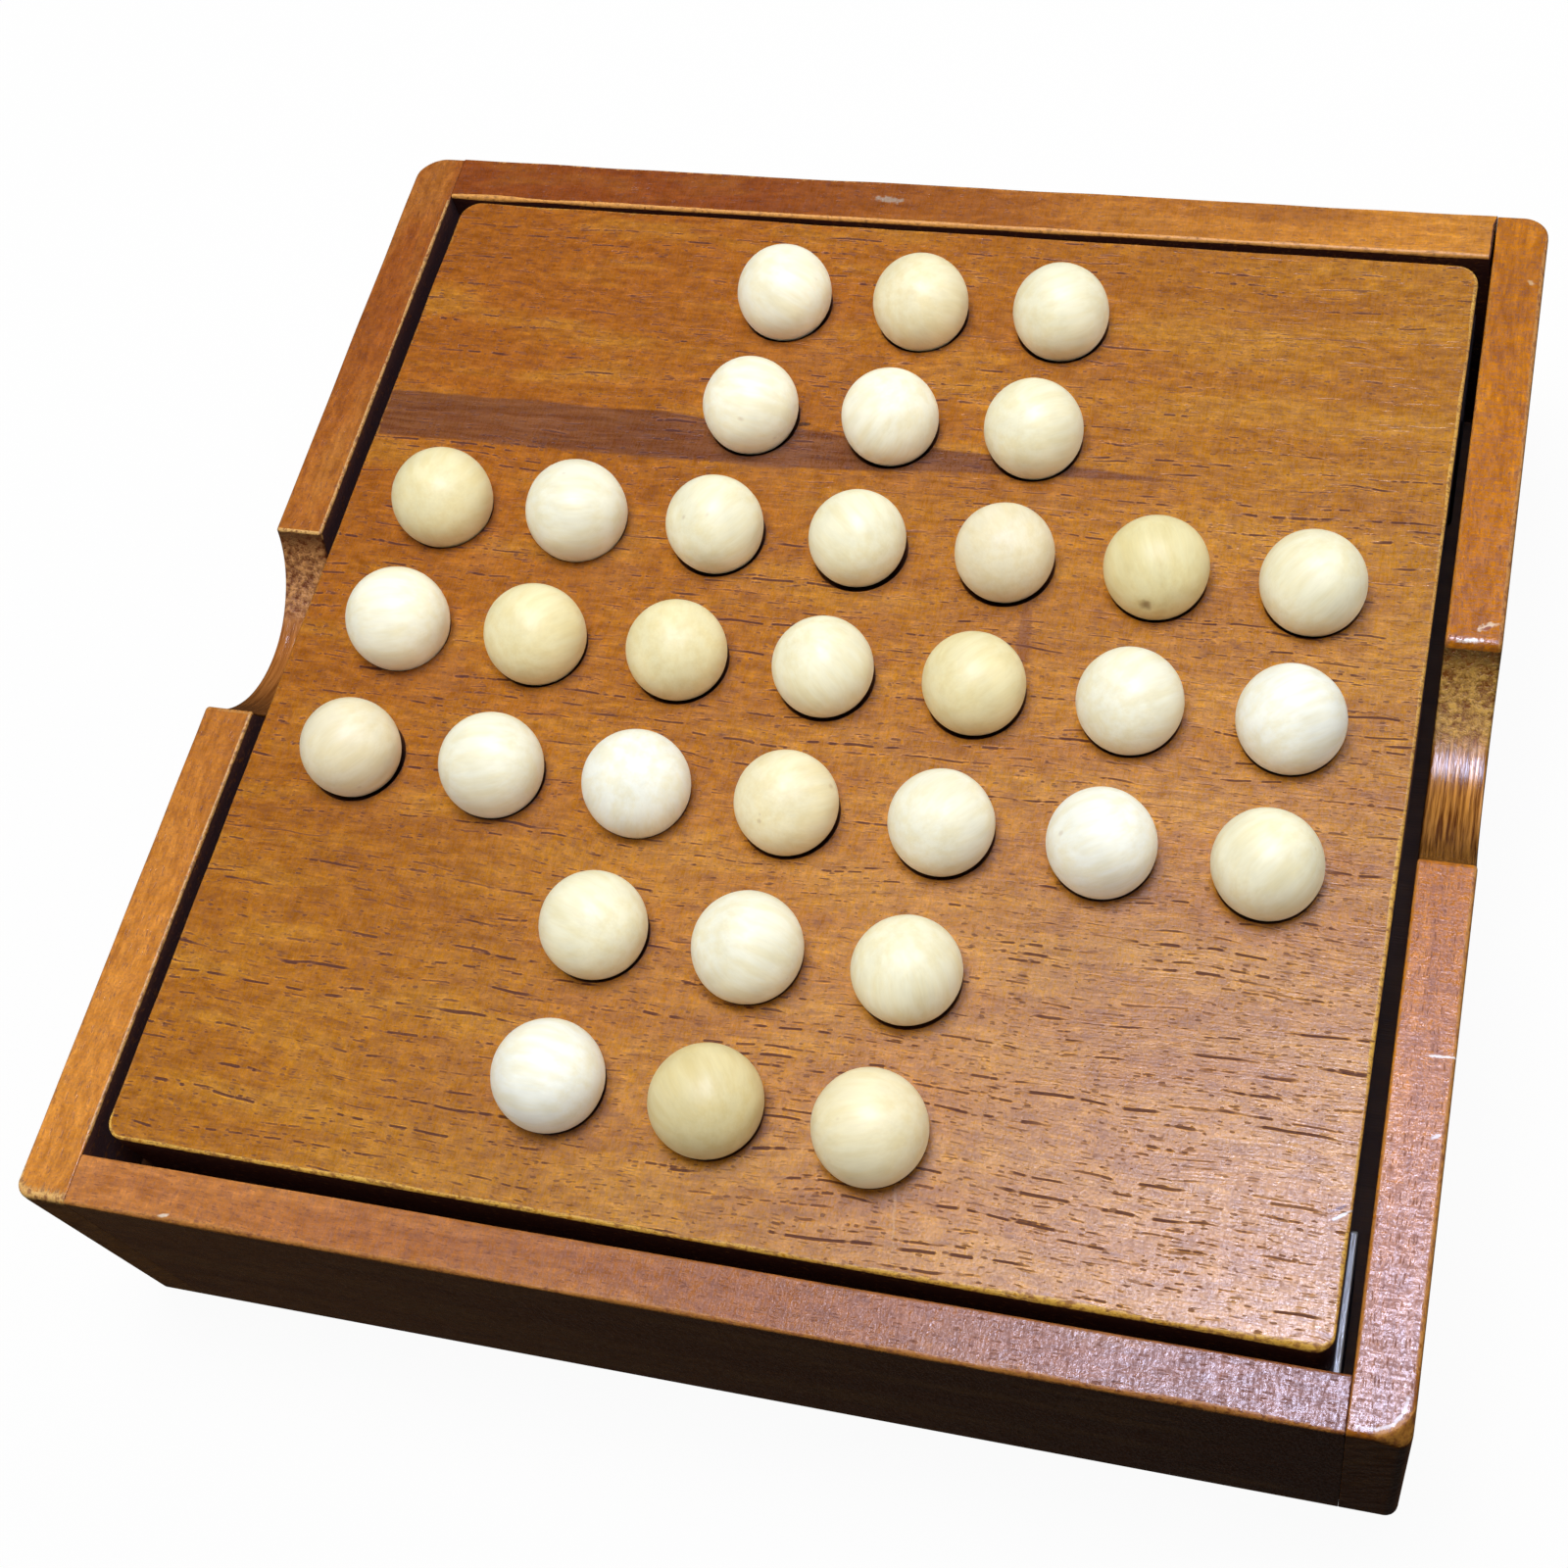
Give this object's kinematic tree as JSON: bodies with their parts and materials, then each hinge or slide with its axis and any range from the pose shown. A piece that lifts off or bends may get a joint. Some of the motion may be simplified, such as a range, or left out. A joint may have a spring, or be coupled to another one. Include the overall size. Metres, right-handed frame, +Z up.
{
  "type": "peg solitaire board game",
  "caption": "Square wooden tray box with a lift-out peg solitaire board, wooden balls standing in a cross of dimples, storage below and finger notches in two sides.",
  "frame": {"origin": "middle of the box's underside, on the table", "axes": "+Z up out of the box, +X to the rail on the player's right, +Y to the back rail; the front rail faces -Y"},
  "size_m": [0.125, 0.125, 0.0374],
  "materials": {
    "rail_wood": "stained brown, satin lacquer",
    "end_rail_wood": "stained brown, satin lacquer",
    "board_wood": "stained brown with open pores, satin lacquer",
    "base_wood": "bare thin plywood",
    "block_wood": "bare pale softwood",
    "ball_wood": "turned pale hardwood, tumbled smooth"
  },
  "bodies": {
    "box": {"left_rail": "rail_wood", "right_rail": "rail_wood", "front_rail": "end_rail_wood", "back_rail": "end_rail_wood", "base_panel": "base_wood", "corner_block_front_left": "block_wood", "corner_block_front_right": "block_wood", "corner_block_back_right": "block_wood", "corner_block_back_left": "block_wood"},
    "board": {"playing_board": "board_wood"},
    "ball_r1_c3": {"ball_r1_c3": "ball_wood"},
    "ball_r1_c4": {"ball_r1_c4": "ball_wood"},
    "ball_r1_c5": {"ball_r1_c5": "ball_wood"},
    "ball_r2_c3": {"ball_r2_c3": "ball_wood"},
    "ball_r2_c4": {"ball_r2_c4": "ball_wood"},
    "ball_r2_c5": {"ball_r2_c5": "ball_wood"},
    "ball_r3_c1": {"ball_r3_c1": "ball_wood"},
    "ball_r3_c2": {"ball_r3_c2": "ball_wood"},
    "ball_r3_c3": {"ball_r3_c3": "ball_wood"},
    "ball_r3_c4": {"ball_r3_c4": "ball_wood"},
    "ball_r3_c5": {"ball_r3_c5": "ball_wood"},
    "ball_r3_c6": {"ball_r3_c6": "ball_wood"},
    "ball_r3_c7": {"ball_r3_c7": "ball_wood"},
    "ball_r4_c1": {"ball_r4_c1": "ball_wood"},
    "ball_r4_c2": {"ball_r4_c2": "ball_wood"},
    "ball_r4_c3": {"ball_r4_c3": "ball_wood"},
    "ball_r4_c4": {"ball_r4_c4": "ball_wood"},
    "ball_r4_c5": {"ball_r4_c5": "ball_wood"},
    "ball_r4_c6": {"ball_r4_c6": "ball_wood"},
    "ball_r4_c7": {"ball_r4_c7": "ball_wood"},
    "ball_r5_c1": {"ball_r5_c1": "ball_wood"},
    "ball_r5_c2": {"ball_r5_c2": "ball_wood"},
    "ball_r5_c3": {"ball_r5_c3": "ball_wood"},
    "ball_r5_c4": {"ball_r5_c4": "ball_wood"},
    "ball_r5_c5": {"ball_r5_c5": "ball_wood"},
    "ball_r5_c6": {"ball_r5_c6": "ball_wood"},
    "ball_r5_c7": {"ball_r5_c7": "ball_wood"},
    "ball_r6_c3": {"ball_r6_c3": "ball_wood"},
    "ball_r6_c4": {"ball_r6_c4": "ball_wood"},
    "ball_r6_c5": {"ball_r6_c5": "ball_wood"},
    "ball_r7_c3": {"ball_r7_c3": "ball_wood"},
    "ball_r7_c4": {"ball_r7_c4": "ball_wood"},
    "ball_r7_c5": {"ball_r7_c5": "ball_wood"}
  },
  "joints": [
    {"name": "board_lift", "type": "slide", "parent": "box", "child": "board", "axis": [0, 0, 1], "range_m": [0, 0.03]},
    {"name": "ball_r1_c3_lift", "type": "slide", "parent": "board", "child": "ball_r1_c3", "axis": [0, 0, 1], "range_m": [0, 0.03]},
    {"name": "ball_r1_c4_lift", "type": "slide", "parent": "board", "child": "ball_r1_c4", "axis": [0, 0, 1], "range_m": [0, 0.03]},
    {"name": "ball_r1_c5_lift", "type": "slide", "parent": "board", "child": "ball_r1_c5", "axis": [0, 0, 1], "range_m": [0, 0.03]},
    {"name": "ball_r2_c3_lift", "type": "slide", "parent": "board", "child": "ball_r2_c3", "axis": [0, 0, 1], "range_m": [0, 0.03]},
    {"name": "ball_r2_c4_lift", "type": "slide", "parent": "board", "child": "ball_r2_c4", "axis": [0, 0, 1], "range_m": [0, 0.03]},
    {"name": "ball_r2_c5_lift", "type": "slide", "parent": "board", "child": "ball_r2_c5", "axis": [0, 0, 1], "range_m": [0, 0.03]},
    {"name": "ball_r3_c1_lift", "type": "slide", "parent": "board", "child": "ball_r3_c1", "axis": [0, 0, 1], "range_m": [0, 0.03]},
    {"name": "ball_r3_c2_lift", "type": "slide", "parent": "board", "child": "ball_r3_c2", "axis": [0, 0, 1], "range_m": [0, 0.03]},
    {"name": "ball_r3_c3_lift", "type": "slide", "parent": "board", "child": "ball_r3_c3", "axis": [0, 0, 1], "range_m": [0, 0.03]},
    {"name": "ball_r3_c4_lift", "type": "slide", "parent": "board", "child": "ball_r3_c4", "axis": [0, 0, 1], "range_m": [0, 0.03]},
    {"name": "ball_r3_c5_lift", "type": "slide", "parent": "board", "child": "ball_r3_c5", "axis": [0, 0, 1], "range_m": [0, 0.03]},
    {"name": "ball_r3_c6_lift", "type": "slide", "parent": "board", "child": "ball_r3_c6", "axis": [0, 0, 1], "range_m": [0, 0.03]},
    {"name": "ball_r3_c7_lift", "type": "slide", "parent": "board", "child": "ball_r3_c7", "axis": [0, 0, 1], "range_m": [0, 0.03]},
    {"name": "ball_r4_c1_lift", "type": "slide", "parent": "board", "child": "ball_r4_c1", "axis": [0, 0, 1], "range_m": [0, 0.03]},
    {"name": "ball_r4_c2_lift", "type": "slide", "parent": "board", "child": "ball_r4_c2", "axis": [0, 0, 1], "range_m": [0, 0.03]},
    {"name": "ball_r4_c3_lift", "type": "slide", "parent": "board", "child": "ball_r4_c3", "axis": [0, 0, 1], "range_m": [0, 0.03]},
    {"name": "ball_r4_c4_lift", "type": "slide", "parent": "board", "child": "ball_r4_c4", "axis": [0, 0, 1], "range_m": [0, 0.03]},
    {"name": "ball_r4_c5_lift", "type": "slide", "parent": "board", "child": "ball_r4_c5", "axis": [0, 0, 1], "range_m": [0, 0.03]},
    {"name": "ball_r4_c6_lift", "type": "slide", "parent": "board", "child": "ball_r4_c6", "axis": [0, 0, 1], "range_m": [0, 0.03]},
    {"name": "ball_r4_c7_lift", "type": "slide", "parent": "board", "child": "ball_r4_c7", "axis": [0, 0, 1], "range_m": [0, 0.03]},
    {"name": "ball_r5_c1_lift", "type": "slide", "parent": "board", "child": "ball_r5_c1", "axis": [0, 0, 1], "range_m": [0, 0.03]},
    {"name": "ball_r5_c2_lift", "type": "slide", "parent": "board", "child": "ball_r5_c2", "axis": [0, 0, 1], "range_m": [0, 0.03]},
    {"name": "ball_r5_c3_lift", "type": "slide", "parent": "board", "child": "ball_r5_c3", "axis": [0, 0, 1], "range_m": [0, 0.03]},
    {"name": "ball_r5_c4_lift", "type": "slide", "parent": "board", "child": "ball_r5_c4", "axis": [0, 0, 1], "range_m": [0, 0.03]},
    {"name": "ball_r5_c5_lift", "type": "slide", "parent": "board", "child": "ball_r5_c5", "axis": [0, 0, 1], "range_m": [0, 0.03]},
    {"name": "ball_r5_c6_lift", "type": "slide", "parent": "board", "child": "ball_r5_c6", "axis": [0, 0, 1], "range_m": [0, 0.03]},
    {"name": "ball_r5_c7_lift", "type": "slide", "parent": "board", "child": "ball_r5_c7", "axis": [0, 0, 1], "range_m": [0, 0.03]},
    {"name": "ball_r6_c3_lift", "type": "slide", "parent": "board", "child": "ball_r6_c3", "axis": [0, 0, 1], "range_m": [0, 0.03]},
    {"name": "ball_r6_c4_lift", "type": "slide", "parent": "board", "child": "ball_r6_c4", "axis": [0, 0, 1], "range_m": [0, 0.03]},
    {"name": "ball_r6_c5_lift", "type": "slide", "parent": "board", "child": "ball_r6_c5", "axis": [0, 0, 1], "range_m": [0, 0.03]},
    {"name": "ball_r7_c3_lift", "type": "slide", "parent": "board", "child": "ball_r7_c3", "axis": [0, 0, 1], "range_m": [0, 0.03]},
    {"name": "ball_r7_c4_lift", "type": "slide", "parent": "board", "child": "ball_r7_c4", "axis": [0, 0, 1], "range_m": [0, 0.03]},
    {"name": "ball_r7_c5_lift", "type": "slide", "parent": "board", "child": "ball_r7_c5", "axis": [0, 0, 1], "range_m": [0, 0.03]}
  ]
}
